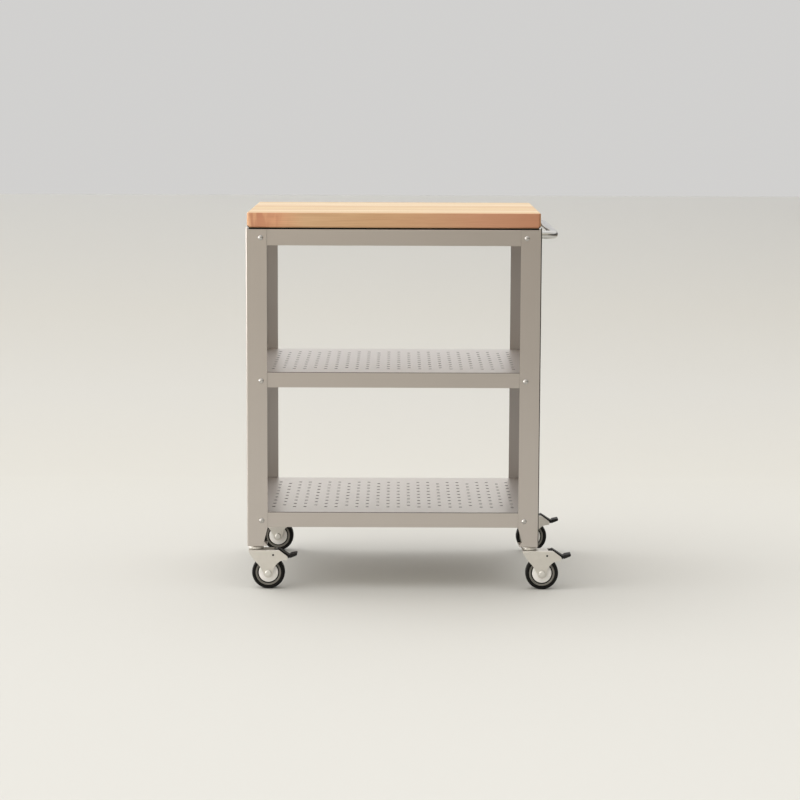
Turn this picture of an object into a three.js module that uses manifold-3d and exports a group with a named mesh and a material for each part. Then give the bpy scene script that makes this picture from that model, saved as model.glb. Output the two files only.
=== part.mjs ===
// Kitchen island cart: a butcher-block worktop on four bent-angle steel legs, with a rail frame
// under the top, two perforated pan shelves, a tube handle at the right side and four braked casters.
// Millimetres, +Z up, +Y to the back. The origin is on the floor at the middle of the overall footprint.
import * as THREE from "three";
import { mergeVertices } from "three/addons/utils/BufferGeometryUtils.js";
import Module from "manifold-3d";

// Overall frame
const WIDTH = 706;
const DEPTH = 508;
const HEIGHT = 914;
const GAP = 0.3;

// Worktop
const WORKTOP_THICKNESS = 36;
const WORKTOP_INSET = 2.5;
const WORKTOP_CORNER_RADIUS = 6;
const WORKTOP_TOP_CHAMFER = 2.5;
const WORKTOP_LOWER_CHAMFER_RUN = 5.7;
const WORKTOP_LOWER_CHAMFER_RISE = 4.5;
const WORKTOP_SCREW_X = 250;
const WORKTOP_SCREW_LENGTH = 20;
const WORKTOP_SCREW_RADIUS = 2;
const WORKTOP_PILOT_RADIUS = 2.5;

// Gasket: a flat rubber frame the worktop lies on
const GASKET_THICKNESS = 2.8;
const GASKET_SETBACK = 4;
const GASKET_WIDTH = 26;

// Legs: equal-flange angles bent from sheet, with tapered feet and a welded foot plate
const LEG_FLANGE = 50;
const LEG_SHEET = 2;
const LEG_BEND_RADIUS = 3;
const LEG_EAR_RISE = 4.6;
const LEG_EAR_RUN = 7.5;
const LEG_BOTTOM_Z = 107;
const FOOT_TAPER_TOP_Z = 154;
const FOOT_WIDTH = 37.5;
const FOOT_PLATE_WIDTH = 47;
const FOOT_PLATE_THICKNESS = 3;
const GUSSET_START = 30;
const GUSSET_HEIGHT = 13;
const WELD_OVERLAP = 0.5;

// Rail frame under the worktop
const RAIL_TOP_Z = HEIGHT - WORKTOP_THICKNESS - GASKET_THICKNESS - 2 * GAP;
const RAIL_HEIGHT = 38.5;
const RAIL_FLANGE = 26;
const RAIL_SHEET = 1.5;
const RAIL_BEND_RADIUS = 2;
const MITRE_CLEARANCE = 0.15;

// Pan shelves
const SHELF_TOPS_Z = { mid_shelf: 531.8, lower_shelf: 190.8 };
const SHELF_LIP = 37;
const SHELF_SHEET = 1.5;
const SHELF_BEND_RADIUS = 2.5;
const HOLE_COLUMNS = 24;
const HOLE_COLUMN_PITCH = 25.4;
const HOLE_ROWS = 9;
const HOLE_ROW_PITCH = 44.5;
const HOLE_RADIUS = 4.4;

// Frame bolts
const BOLT_INSET = 35.5;
const RAIL_BOLT_DROP = 20;
const SHELF_BOLT_DROP = 21;
const BOLT_HOLE_REACH = 6;
const BOLT_RADIUS = 3;
const BOLT_HEAD_RADIUS = 6.2;
const BOLT_HEAD_HEIGHT = 3.5;
const NUT_RADIUS = 5.8;
const NUT_THICKNESS = 5;
const BOLT_END = 2;

// Side handle
const HANDLE_Z = 862;
const HANDLE_REACH = 31;
const HANDLE_RADIUS = 10;
const HANDLE_WALL = 1.5;
const HANDLE_END_INSET = 27;
const HANDLE_BEND = 18;
const HANDLE_PLUG = 8;
const HANDLE_SCREW_RADIUS = 2.5;
const HANDLE_SCREW_LENGTH = 14;

// Casters: every one trails towards +X when the cart is parked as it is here
const SWIVEL_INSET = 20.5;
const TRAIL = 30;
const WHEEL_RADIUS = 40;
const TYRE_INNER_RADIUS = 28.3;
const TYRE_WIDTH = 26;
const TYRE_SEAT_HALF = 11;
const TYRE_SHOULDER_RADIUS = 38.5;
const TYRE_WALL_RADIUS = 35;
const HUB_BOSS_RADIUS = 9;
const HUB_BOSS_HALF = 15.4;
const HUB_DISC_RADIUS = 22.5;
const HUB_DISC_HALF = 9;
const HUB_RIM_RADIUS = 24;
const FORK_TOP_Z = 97.5;
const FORK_SHEET = 2.5;
const FORK_GAP = 32;
const FORK_EYE_RADIUS = 11.5;
const FORK_ROOF_END = 14;
const RACE_RADIUS = 19;
const STEM_RADIUS = 5;
const STEM_FLANGE_RADIUS = 9;
const STEM_NUT_THICKNESS = 8;
const STEM_END = 3;
const AXLE_RADIUS = 4;
const AXLE_HEAD = 4.5;
const AXLE_HEAD_RADIUS = 7.5;
const AXLE_NUT_RADIUS = 7.4;
const AXLE_NUT_THICKNESS = 4;
const BRAKE_PIN = [12, 44.5];
const BRAKE_PIN_RADIUS = 2.2;
const BRAKE_PIN_END = 0.6;
const LEVER_HALF_WIDTH = 10.5;
const TOE_HALF_WIDTH = 13;
const TOE_TIP = 70.3;

const RIGHTMOST = WIDTH / 2 - SWIVEL_INSET + TRAIL + TOE_TIP;
const FOOTPRINT_CENTRE_X = (RIGHTMOST - WIDTH / 2) / 2;
const CORNERS = [
  { name: "front_left", sx: -1, sy: -1 },
  { name: "front_right", sx: 1, sy: -1 },
  { name: "rear_left", sx: -1, sy: 1 },
  { name: "rear_right", sx: 1, sy: 1 },
];
const BOLT_LEVELS = {
  top: RAIL_TOP_Z - RAIL_BOLT_DROP,
  middle: SHELF_TOPS_Z.mid_shelf - SHELF_BOLT_DROP,
  bottom: SHELF_TOPS_Z.lower_shelf - SHELF_BOLT_DROP,
};

const MATERIALS = {
  wood: { color: 0xe3c49c, roughness: 0.55, metalness: 0 },
  frame_steel: { color: 0xb4ada2, roughness: 0.3, metalness: 1 },
  bright_steel: { color: 0xc8c6c2, roughness: 0.18, metalness: 1 },
  zinc_steel: { color: 0xa7a49c, roughness: 0.35, metalness: 1 },
  tyre_rubber: { color: 0x17150f, roughness: 0.7, metalness: 0 },
  hub_plastic: { color: 0xd9d5cc, roughness: 0.5, metalness: 0 },
  pedal_plastic: { color: 0x12110f, roughness: 0.5, metalness: 0 },
};

// ---- solids -------------------------------------------------------------------------------------

const wasm = await Module();
wasm.setup();

function toSolid(geometry) {
  const bare = geometry.clone();
  bare.deleteAttribute("normal");
  bare.deleteAttribute("uv");
  const merged = mergeVertices(bare, 1e-3);
  const vertProperties = merged.attributes.position.array;
  const triVerts = new Uint32Array(merged.index.array);
  return new wasm.Manifold(new wasm.Mesh({ numProp: 3, vertProperties, triVerts }));
}

function toGeometry(solid) {
  const mesh = solid.getMesh();
  const geometry = new THREE.BufferGeometry();
  geometry.setAttribute("position", new THREE.BufferAttribute(mesh.vertProperties, 3));
  geometry.setIndex(new THREE.BufferAttribute(mesh.triVerts, 1));
  geometry.computeVertexNormals();
  return geometry;
}

const union = (solids) => solids.reduce((all, next) => all.add(next));
const cut = (solid, tools) => tools.reduce((left, tool) => left.subtract(tool), solid);

function box(x, y, z) {
  const geometry = new THREE.BoxGeometry(x[1] - x[0], y[1] - y[0], z[1] - z[0]);
  return toSolid(geometry.translate((x[0] + x[1]) / 2, (y[0] + y[1]) / 2, (z[0] + z[1]) / 2));
}

// A prism: the outline is drawn in one plane and pushed from `from` to `to` along the third axis.
const PUSH_AXES = {
  x: [new THREE.Vector3(0, 1, 0), new THREE.Vector3(0, 0, 1), new THREE.Vector3(1, 0, 0)],
  y: [new THREE.Vector3(0, 0, 1), new THREE.Vector3(1, 0, 0), new THREE.Vector3(0, 1, 0)],
  z: [new THREE.Vector3(1, 0, 0), new THREE.Vector3(0, 1, 0), new THREE.Vector3(0, 0, 1)],
};

function prism(outline, axis, from, to) {
  const drawn = outline instanceof THREE.Shape;
  const shape = drawn ? outline : new THREE.Shape(outline.map((p) => new THREE.Vector2(...p)));
  const settings = { depth: to - from, bevelEnabled: false, curveSegments: 3 };
  const geometry = new THREE.ExtrudeGeometry(shape, settings);
  geometry.translate(0, 0, from);
  return toSolid(geometry.applyMatrix4(new THREE.Matrix4().makeBasis(...PUSH_AXES[axis])));
}

// Outlines drawn as x and z pairs, pushed along y.
const sidePrism = (outline, from, to) => prism(outline.map(([x, z]) => [z, x]), "y", from, to);

function cylinder(axis, radius, from, to, centre = [0, 0], sides = 12) {
  const geometry = new THREE.CylinderGeometry(radius, radius, to - from, sides);
  geometry.translate(0, (from + to) / 2, 0);
  if (axis === "x") geometry.rotateZ(-Math.PI / 2).translate(0, centre[0], centre[1]);
  if (axis === "y") geometry.translate(centre[0], 0, centre[1]);
  if (axis === "z") geometry.rotateX(Math.PI / 2).translate(centre[0], centre[1], 0);
  return toSolid(geometry);
}

// A turned body about the y axis, from pairs of radius and height.
function turned(profile, segments, start = 0) {
  const points = profile.map((p) => new THREE.Vector2(...p));
  return new THREE.LatheGeometry(points, segments, start);
}

// A rectangle with rounded corners, drawn about 0,0.
function roundedRectangle(halfX, halfY, radius) {
  const plan = new THREE.Shape();
  plan.absarc(halfX - radius, halfY - radius, radius, 0, Math.PI / 2);
  plan.absarc(radius - halfX, halfY - radius, radius, Math.PI / 2, Math.PI);
  plan.absarc(radius - halfX, radius - halfY, radius, Math.PI, 1.5 * Math.PI);
  plan.absarc(halfX - radius, radius - halfY, radius, 1.5 * Math.PI, 2 * Math.PI);
  return plan;
}

// ---- nodes --------------------------------------------------------------------------------------

const cart = new THREE.Group();
cart.position.x = -FOOTPRINT_CENTRE_X;

function addNode(parent, name, solidOrGeometry, material) {
  const geometry = solidOrGeometry.isBufferGeometry ? solidOrGeometry : toGeometry(solidOrGeometry);
  const mesh = new THREE.Mesh(geometry, new THREE.MeshStandardMaterial(MATERIALS[material]));
  mesh.name = name;
  parent.add(mesh);
  return mesh;
}

// The slab: its lower edges are chamfered, so that the legs' ears fit below them.
function worktop() {
  const halfX = WIDTH / 2 - WORKTOP_INSET;
  const halfY = DEPTH / 2 - WORKTOP_INSET;
  const low = HEIGHT - WORKTOP_THICKNESS;
  const section = (half) => [
    [WORKTOP_LOWER_CHAMFER_RUN - half, low],
    [half - WORKTOP_LOWER_CHAMFER_RUN, low],
    [half, low + WORKTOP_LOWER_CHAMFER_RISE],
    [half, HEIGHT - WORKTOP_TOP_CHAMFER],
    [half - WORKTOP_TOP_CHAMFER, HEIGHT],
    [WORKTOP_TOP_CHAMFER - half, HEIGHT],
    [-half, HEIGHT - WORKTOP_TOP_CHAMFER],
    [-half, low + WORKTOP_LOWER_CHAMFER_RISE],
  ];
  const plan = roundedRectangle(halfX, halfY, WORKTOP_CORNER_RADIUS);
  const slab = prism(plan, "z", low, HEIGHT)
    .intersect(sidePrism(section(halfX), -halfY, halfY))
    .intersect(prism(section(halfY), "x", -halfX, halfX));
  const deepest = low + WORKTOP_SCREW_LENGTH;
  const pilots = screwPlaces().map((place) =>
    cylinder("z", WORKTOP_PILOT_RADIUS, low - 1, deepest, place, 8),
  );
  return cut(slab, pilots);
}

function gasket() {
  const low = RAIL_TOP_Z + GAP;
  const high = low + GASKET_THICKNESS;
  const halfX = WIDTH / 2 - WORKTOP_INSET - GASKET_SETBACK;
  const halfY = DEPTH / 2 - WORKTOP_INSET - GASKET_SETBACK;
  const inX = halfX - GASKET_WIDTH;
  const inY = halfY - GASKET_WIDTH;
  const sheet = box([-halfX, halfX], [-halfY, halfY], [low, high]);
  const opening = box([-inX, inX], [-inY, inY], [low - 1, high + 1]);
  const holes = screwPlaces().map((place) =>
    cylinder("z", WORKTOP_PILOT_RADIUS, low - 1, high + 1, place, 8),
  );
  return cut(sheet, [opening, ...holes]);
}

function screwPlaces() {
  const y = DEPTH / 2 - LEG_SHEET - RAIL_FLANGE / 2;
  return CORNERS.map(({ sx, sy }) => [sx * WORKTOP_SCREW_X, sy * y]);
}

function worktopScrew([x, y]) {
  const underFlange = RAIL_TOP_Z - RAIL_SHEET - GAP;
  const shank = WORKTOP_SCREW_RADIUS;
  const end = WORKTOP_SCREW_LENGTH;
  const profile = [[0, -3], [4, -3], [5, -1.5], [5, 0], [shank, 0], [shank, end], [0, end + 1.5]];
  return turned(profile, 8).rotateX(Math.PI / 2).translate(x, y, underFlange);
}

// A bent strip: an L section with its corner at 0,0, one side along u and one along v.
function angleSection(u, v, sheet, bend) {
  const inner = Math.max(bend - sheet, 0.5);
  const shape = new THREE.Shape();
  shape.moveTo(u, 0);
  shape.lineTo(u, sheet);
  shape.lineTo(sheet + inner, sheet);
  shape.absarc(sheet + inner, sheet + inner, inner, 1.5 * Math.PI, Math.PI, true);
  shape.lineTo(sheet, v);
  shape.lineTo(0, v);
  shape.lineTo(0, bend);
  shape.absarc(bend, bend, bend, Math.PI, 1.5 * Math.PI);
  shape.lineTo(u, 0);
  return shape;
}

// One leg, drawn with its outer corner at 0,0 and both flanges towards +X and +Y. Its corner rises
// above the frame as a small ear on each flange.
function leg(hasHandle) {
  const earTop = RAIL_TOP_Z + LEG_EAR_RISE;
  const section = angleSection(LEG_FLANGE, LEG_FLANGE, LEG_SHEET, LEG_BEND_RADIUS);
  const angle = prism(section, "z", LEG_BOTTOM_Z, earTop);
  const beyond = LEG_FLANGE + 10;
  const besideFoot = [
    [FOOT_WIDTH, LEG_BOTTOM_Z - 1],
    [beyond, LEG_BOTTOM_Z - 1],
    [beyond, FOOT_TAPER_TOP_Z],
    [LEG_FLANGE, FOOT_TAPER_TOP_Z],
  ];
  const besideEar = [
    [LEG_SHEET, earTop],
    [LEG_EAR_RUN, RAIL_TOP_Z],
    [beyond, RAIL_TOP_Z],
    [beyond, earTop + 1],
    [LEG_SHEET, earTop + 1],
  ];
  const tapered = cut(angle, [
    sidePrism(besideFoot, -1, beyond / 2),
    prism(besideFoot, "x", -1, beyond / 2),
    sidePrism(besideEar, -1, beyond),
    prism(besideEar, "x", -1, beyond),
  ]);
  const plateTop = LEG_BOTTOM_Z + FOOT_PLATE_THICKNESS;
  const inside = LEG_SHEET - WELD_OVERLAP;
  const plate = box([inside, FOOT_PLATE_WIDTH], [inside, FOOT_PLATE_WIDTH], [LEG_BOTTOM_Z, plateTop]);
  const gusset = [
    [GUSSET_START, LEG_BOTTOM_Z],
    [FOOT_PLATE_WIDTH, LEG_BOTTOM_Z],
    [FOOT_PLATE_WIDTH, plateTop],
    [FOOT_WIDTH + 1, LEG_BOTTOM_Z + GUSSET_HEIGHT],
    [GUSSET_START, LEG_BOTTOM_Z + GUSSET_HEIGHT],
  ];
  const body = union([
    tapered,
    plate,
    sidePrism(gusset, inside, inside + LEG_SHEET),
    prism(gusset, "x", inside, inside + LEG_SHEET),
  ]);
  const holes = Object.values(BOLT_LEVELS).map((z) =>
    cylinder("y", BOLT_RADIUS + GAP, -1, 10, [BOLT_INSET, z], 8),
  );
  const swivel = [SWIVEL_INSET, SWIVEL_INSET];
  holes.push(cylinder("z", STEM_RADIUS + GAP, LEG_BOTTOM_Z - 1, plateTop + 1, swivel, 12));
  const handleEnd = [HANDLE_END_INSET, HANDLE_Z];
  if (hasHandle) holes.push(cylinder("x", HANDLE_SCREW_RADIUS + GAP, -1, 10, handleEnd, 8));
  return cut(body, holes);
}

// One rail as an angle with mitred ends; its web hangs from the outer edge of the top flange.
function rail(halfLength, halfSpan) {
  const outer = halfSpan - LEG_SHEET - GAP;
  const end = halfLength - LEG_SHEET - GAP;
  const section = angleSection(RAIL_HEIGHT, RAIL_FLANGE, RAIL_SHEET, RAIL_BEND_RADIUS);
  const drawn = prism(section, "z", -end, end);
  const hang = new THREE.Matrix4().makeBasis(
    new THREE.Vector3(0, 0, -1),
    new THREE.Vector3(0, 1, 0),
    new THREE.Vector3(1, 0, 0),
  );
  const turnedRail = toSolid(toGeometry(drawn).applyMatrix4(hang).translate(0, -outer, RAIL_TOP_Z));
  const clear = MITRE_CLEARANCE;
  const reach = RAIL_FLANGE + 5;
  const mitre = [
    [-end + clear, -outer - 1],
    [-end + clear, -outer + 0.01],
    [-end + reach + clear, -outer + reach],
    [end - reach - clear, -outer + reach],
    [end - clear, -outer + 0.01],
    [end - clear, -outer - 1],
  ];
  return turnedRail.intersect(prism(mitre, "z", RAIL_TOP_Z - RAIL_HEIGHT - 1, RAIL_TOP_Z + 1));
}

function boltHoles(levels, reach) {
  const tools = [];
  for (const z of levels) {
    for (const { sx, sy } of CORNERS) {
      const y = sy * (DEPTH / 2 - LEG_SHEET - 1);
      const x = sx * (WIDTH / 2 - BOLT_INSET);
      tools.push(cylinder("y", BOLT_RADIUS + GAP, y - reach, y + reach, [x, z], 8));
    }
  }
  return tools;
}

// A dome of sheet with square plan: two arched prisms crossed, so that all four top edges are bent.
function panBlank(halfX, halfY, top, bottom, bend) {
  const arch = (half, axis, length) => {
    const shape = new THREE.Shape();
    shape.moveTo(-half, bottom);
    shape.lineTo(half, bottom);
    shape.absarc(half - bend, top - bend, bend, 0, Math.PI / 2);
    shape.absarc(bend - half, top - bend, bend, Math.PI / 2, Math.PI);
    const drawn = toGeometry(prism(shape, "z", -length, length));
    const [across, up, along] = PUSH_AXES.x;
    if (axis === "x") drawn.applyMatrix4(new THREE.Matrix4().makeBasis(across, up, along));
    else drawn.rotateX(Math.PI / 2);
    return toSolid(drawn);
  };
  return arch(halfY, "x", halfX).intersect(arch(halfX, "y", halfY));
}

// Staggered perforation: each third column has one hole fewer, set half a row off the others.
function perforations(top) {
  const tools = [];
  for (let column = 0; column < HOLE_COLUMNS; column++) {
    const x = (column - (HOLE_COLUMNS - 1) / 2) * HOLE_COLUMN_PITCH;
    const rows = column % 3 === 1 ? HOLE_ROWS - 1 : HOLE_ROWS;
    for (let row = 0; row < rows; row++) {
      const y = (row - (rows - 1) / 2) * HOLE_ROW_PITCH;
      tools.push(cylinder("z", HOLE_RADIUS, top - 2 * SHELF_SHEET, top + SHELF_SHEET, [x, y], 4));
    }
  }
  return union(tools);
}

function panShelf(top) {
  const halfX = WIDTH / 2 - LEG_SHEET - GAP;
  const halfY = DEPTH / 2 - LEG_SHEET - GAP;
  const bottom = top - SHELF_LIP;
  const outside = panBlank(halfX, halfY, top, bottom, SHELF_BEND_RADIUS);
  const inside = panBlank(
    halfX - SHELF_SHEET,
    halfY - SHELF_SHEET,
    top - SHELF_SHEET,
    bottom - SHELF_LIP,
    SHELF_BEND_RADIUS - SHELF_SHEET,
  );
  const holes = boltHoles([top - SHELF_BOLT_DROP], BOLT_HOLE_REACH);
  return cut(outside, [inside, perforations(top), ...holes]);
}

// A button-head bolt with its nut, drawn along +Y from the face it bears on.
function frameBolt() {
  const h = BOLT_HEAD_HEIGHT;
  const r = BOLT_HEAD_RADIUS;
  const stack = LEG_SHEET + GAP + SHELF_SHEET + GAP;
  const end = stack + NUT_THICKNESS + BOLT_END;
  const profile = [[0, -h], [0.6 * r, -0.85 * h], [r, 0], [BOLT_RADIUS, 0], [BOLT_RADIUS, end], [0, end]];
  const bolt = toSolid(turned(profile, 10).translate(0, -GAP, 0));
  const nut = cylinder("y", NUT_RADIUS, stack, stack + NUT_THICKNESS, [0, 0], 6);
  return toGeometry(bolt.add(nut));
}

// The handle: a straight tube with a bent end at each side, and a drilled plug in both ends.
function bar(radius, sides, overlap) {
  const side = WIDTH / 2 + GAP;
  const reach = WIDTH / 2 + HANDLE_REACH;
  const y = DEPTH / 2 - HANDLE_END_INSET;
  const section = new THREE.Shape(
    Array.from({ length: sides }, (_, i) => {
      const angle = (2 * Math.PI * i) / sides;
      return new THREE.Vector2(radius * Math.cos(angle), radius * Math.sin(angle));
    }),
  );
  const bentEnd = (sign) => {
    const at = (x, along) => new THREE.Vector3(x, sign * along, HANDLE_Z);
    const path = new THREE.CurvePath();
    path.add(new THREE.LineCurve3(at(side - overlap, y), at(reach - HANDLE_BEND, y)));
    const bend = [at(reach - HANDLE_BEND, y), at(reach, y), at(reach, y - HANDLE_BEND)];
    path.add(new THREE.QuadraticBezierCurve3(...bend));
    path.add(new THREE.LineCurve3(at(reach, y - HANDLE_BEND), at(reach, y - HANDLE_BEND - 6)));
    return toSolid(new THREE.ExtrudeGeometry(section, { steps: 9, bevelEnabled: false, extrudePath: path }));
  };
  const straight = y - HANDLE_BEND - 3;
  const middle = cylinder("y", radius - 0.05, -straight, straight, [reach, HANDLE_Z], sides);
  return union([middle, bentEnd(-1), bentEnd(1)]);
}

function sideHandle() {
  const tube = bar(HANDLE_RADIUS, 12, 0).subtract(bar(HANDLE_RADIUS - HANDLE_WALL, 8, 1));
  const start = WIDTH / 2 + GAP;
  const end = start + HANDLE_PLUG;
  const y = DEPTH / 2 - HANDLE_END_INSET;
  const plugs = [-y, y].map((at) => cylinder("x", HANDLE_RADIUS - 1, start, end, [at, HANDLE_Z], 12));
  const bore = HANDLE_SCREW_RADIUS + GAP;
  const holes = [-y, y].map((at) => cylinder("x", bore, start - 1, end + 1, [at, HANDLE_Z], 8));
  return cut(union([tube, ...plugs]), holes);
}

function handleScrew(sy) {
  const shank = HANDLE_SCREW_RADIUS;
  const end = HANDLE_SCREW_LENGTH;
  const profile = [[0, -3.5], [3.4, -3.5], [4.6, -2], [4.6, 0], [shank, 0], [shank, end], [0, end + 1]];
  const inner = WIDTH / 2 - LEG_SHEET - RAIL_SHEET - 2 * GAP;
  const y = sy * (DEPTH / 2 - HANDLE_END_INSET);
  return turned(profile, 8).rotateZ(-Math.PI / 2).translate(inner, y, HANDLE_Z);
}

// ---- casters, drawn with the wheel's centre at 0,0,0 and the swivel axis at x = -TRAIL ------------

const FORK_TOP = FORK_TOP_Z - WHEEL_RADIUS;
const FORK_HALF = FORK_GAP / 2 + FORK_SHEET;

function forkOutline() {
  const eye = FORK_EYE_RADIUS;
  const bottom = [];
  for (let degrees = 0; degrees >= -180; degrees -= 45) {
    const angle = THREE.MathUtils.degToRad(degrees);
    bottom.push([eye * Math.cos(angle), eye * Math.sin(angle)]);
  }
  const right = [[-48, FORK_TOP], [25, FORK_TOP], [48, 40], [46, 32], [31, 31.5], [17, 19], [13, 7]];
  const left = [[-22, 19], [-31, 28], [-43, 45], [-48, 54]];
  return [...right, ...bottom, ...left];
}

function fork() {
  const blank = sidePrism(forkOutline(), -FORK_HALF, FORK_HALF);
  const under = FORK_TOP - FORK_SHEET;
  const half = FORK_GAP / 2;
  return cut(blank, [
    box([-80, 80], [-half, half], [-40, under]),
    box([FORK_ROOF_END, 80], [-half, half], [-40, FORK_TOP + 10]),
    cylinder("z", STEM_RADIUS + 2 * GAP, under - 1, FORK_TOP + 1, [-TRAIL, 0], 12),
    cylinder("y", AXLE_RADIUS + GAP, -FORK_HALF - 1, FORK_HALF + 1, [0, 0], 10),
    cylinder("y", BRAKE_PIN_RADIUS + GAP, -FORK_HALF - 1, FORK_HALF + 1, BRAKE_PIN, 8),
  ]);
}

// The stem bolt: a flange under the fork, the shank up through race and foot plate, and its nut.
function stem() {
  const under = FORK_TOP - FORK_SHEET - GAP;
  const plateTop = LEG_BOTTOM_Z + FOOT_PLATE_THICKNESS - WHEEL_RADIUS + GAP;
  const nutTop = plateTop + STEM_NUT_THICKNESS;
  const profile = [
    [0, under - 3],
    [STEM_FLANGE_RADIUS - 1, under - 3],
    [STEM_FLANGE_RADIUS, under - 1.5],
    [STEM_FLANGE_RADIUS, under],
    [STEM_RADIUS, under],
    [STEM_RADIUS, nutTop + STEM_END],
    [0, nutTop + STEM_END + 1],
  ];
  const shank = toSolid(turned(profile, 10).rotateX(Math.PI / 2).translate(-TRAIL, 0, 0));
  return shank.add(cylinder("z", STEM_FLANGE_RADIUS, plateTop, nutTop, [-TRAIL, 0], 6));
}

function swivelRace() {
  const low = FORK_TOP + GAP;
  const high = LEG_BOTTOM_Z - WHEEL_RADIUS - GAP;
  const bore = STEM_RADIUS + GAP;
  const profile = [
    [bore, low],
    [RACE_RADIUS - 2, low],
    [RACE_RADIUS, low + 2],
    [RACE_RADIUS, high - 3],
    [RACE_RADIUS - 3, high],
    [bore, high],
    [bore, low],
  ];
  return turned(profile, 14).rotateX(Math.PI / 2).translate(-TRAIL, 0, 0);
}

function axle() {
  const head = FORK_HALF + GAP;
  const profile = [
    [0, -head - AXLE_HEAD],
    [AXLE_HEAD_RADIUS - 2, -head - AXLE_HEAD],
    [AXLE_HEAD_RADIUS, -head - AXLE_HEAD / 2],
    [AXLE_HEAD_RADIUS, -head],
    [AXLE_RADIUS, -head],
    [AXLE_RADIUS, head + AXLE_HEAD],
    [0, head + AXLE_HEAD],
  ];
  const nut = cylinder("y", AXLE_NUT_RADIUS, head, head + AXLE_NUT_THICKNESS, [0, 0], 6);
  return toSolid(turned(profile, 10)).add(nut);
}

// The wheel centre: a disc with a boss to each cheek and a rim seat for the tyre.
function hub() {
  const bore = AXLE_RADIUS + GAP;
  const rim = TYRE_INNER_RADIUS - GAP;
  const nearHalf = [
    [bore, -HUB_BOSS_HALF],
    [HUB_BOSS_RADIUS, -HUB_BOSS_HALF],
    [HUB_BOSS_RADIUS, -HUB_DISC_HALF],
    [HUB_DISC_RADIUS, -HUB_DISC_HALF],
    [HUB_RIM_RADIUS, -TYRE_SEAT_HALF],
    [rim, -TYRE_SEAT_HALF],
  ];
  const farHalf = nearHalf.map(([radius, y]) => [radius, -y]).reverse();
  return turned([...nearHalf, ...farHalf, nearHalf[0]], 16);
}

// The tyre has a flat facet at its lowest point, so its facets are set out by their distance.
function tyre() {
  const segments = 24;
  const reach = (r) => r / Math.cos(Math.PI / segments);
  const half = TYRE_WIDTH / 2;
  const profile = [
    [reach(TYRE_INNER_RADIUS), -TYRE_SEAT_HALF],
    [reach(TYRE_WALL_RADIUS), -half],
    [reach(TYRE_SHOULDER_RADIUS), -half + 1.5],
    [reach(WHEEL_RADIUS), -half + 5],
    [reach(WHEEL_RADIUS), half - 5],
    [reach(TYRE_SHOULDER_RADIUS), half - 1.5],
    [reach(TYRE_WALL_RADIUS), half],
    [reach(TYRE_INNER_RADIUS), TYRE_SEAT_HALF],
    [reach(TYRE_INNER_RADIUS), -TYRE_SEAT_HALF],
  ];
  return turned(profile, segments, Math.PI / segments);
}

// The brake pedal: a lever between the cheeks, its shoe above the tyre, and a wide toe plate.
function brakePedal() {
  const leverTop = [[8.2, 47.5], [16.5, 53], [22, 58.6], [25.5, 59.6], [50.5, 43.2], [58, 45.6]];
  const leverUnder = [[58, 37.7], [48, 35.5], [38, 33.5], [28, 38.5], [16, 41.3], [8.2, 43.2]];
  const toe = [[53, 45.4], [69, 48.6], [TOE_TIP, 46.6], [69.6, 42.7], [54.7, 36.6], [52.4, 36.3]];
  const pinEnd = FORK_HALF + BRAKE_PIN_END;
  return union([
    sidePrism([...leverTop, ...leverUnder], -LEVER_HALF_WIDTH, LEVER_HALF_WIDTH),
    sidePrism(toe, -TOE_HALF_WIDTH, TOE_HALF_WIDTH),
    cylinder("y", BRAKE_PIN_RADIUS, -pinEnd, pinEnd, BRAKE_PIN, 8),
  ]);
}

function caster(corner) {
  const group = new THREE.Group();
  const x = corner.sx * (WIDTH / 2 - SWIVEL_INSET) + TRAIL;
  group.position.set(x, corner.sy * (DEPTH / 2 - SWIVEL_INSET), WHEEL_RADIUS);
  addNode(group, "caster_stem_" + corner.name, stem(), "zinc_steel");
  addNode(group, "swivel_race_" + corner.name, swivelRace(), "zinc_steel");
  addNode(group, "caster_fork_" + corner.name, fork(), "zinc_steel");
  addNode(group, "wheel_axle_" + corner.name, axle(), "bright_steel");
  addNode(group, "wheel_hub_" + corner.name, hub(), "hub_plastic");
  addNode(group, "wheel_tyre_" + corner.name, tyre(), "tyre_rubber");
  addNode(group, "brake_pedal_" + corner.name, brakePedal(), "pedal_plastic");
  return group;
}

// ---- assembly -----------------------------------------------------------------------------------

addNode(cart, "butcher_block_top", worktop(), "wood");
addNode(cart, "worktop_gasket", gasket(), "tyre_rubber");
screwPlaces().forEach((place, i) => {
  addNode(cart, "worktop_screw_" + CORNERS[i].name, worktopScrew(place), "zinc_steel");
});

const underFlange = RAIL_TOP_Z - 2 * RAIL_SHEET;
const screwHoles = screwPlaces().map((place) =>
  cylinder("z", WORKTOP_SCREW_RADIUS + 2 * GAP, underFlange, RAIL_TOP_Z + 1, place, 8),
);
const handleHoles = [-1, 1].map((sy) => {
  const y = sy * (DEPTH / 2 - HANDLE_END_INSET);
  return cylinder("x", HANDLE_SCREW_RADIUS + GAP, WIDTH / 2 - 10, WIDTH / 2, [y, HANDLE_Z], 8);
});
const railHoles = [...boltHoles([BOLT_LEVELS.top], BOLT_HOLE_REACH), ...screwHoles, ...handleHoles];
const longRail = toGeometry(rail(WIDTH / 2, DEPTH / 2));
const shortRail = toGeometry(rail(DEPTH / 2, WIDTH / 2));
const RAILS = [
  { name: "rail_front", geometry: longRail, turn: 0 },
  { name: "rail_rear", geometry: longRail, turn: Math.PI },
  { name: "rail_left", geometry: shortRail, turn: -Math.PI / 2 },
  { name: "rail_right", geometry: shortRail, turn: Math.PI / 2 },
];
for (const { name, geometry, turn } of RAILS) {
  addNode(cart, name, cut(toSolid(geometry.clone().rotateZ(turn)), railHoles), "frame_steel");
}

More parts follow.
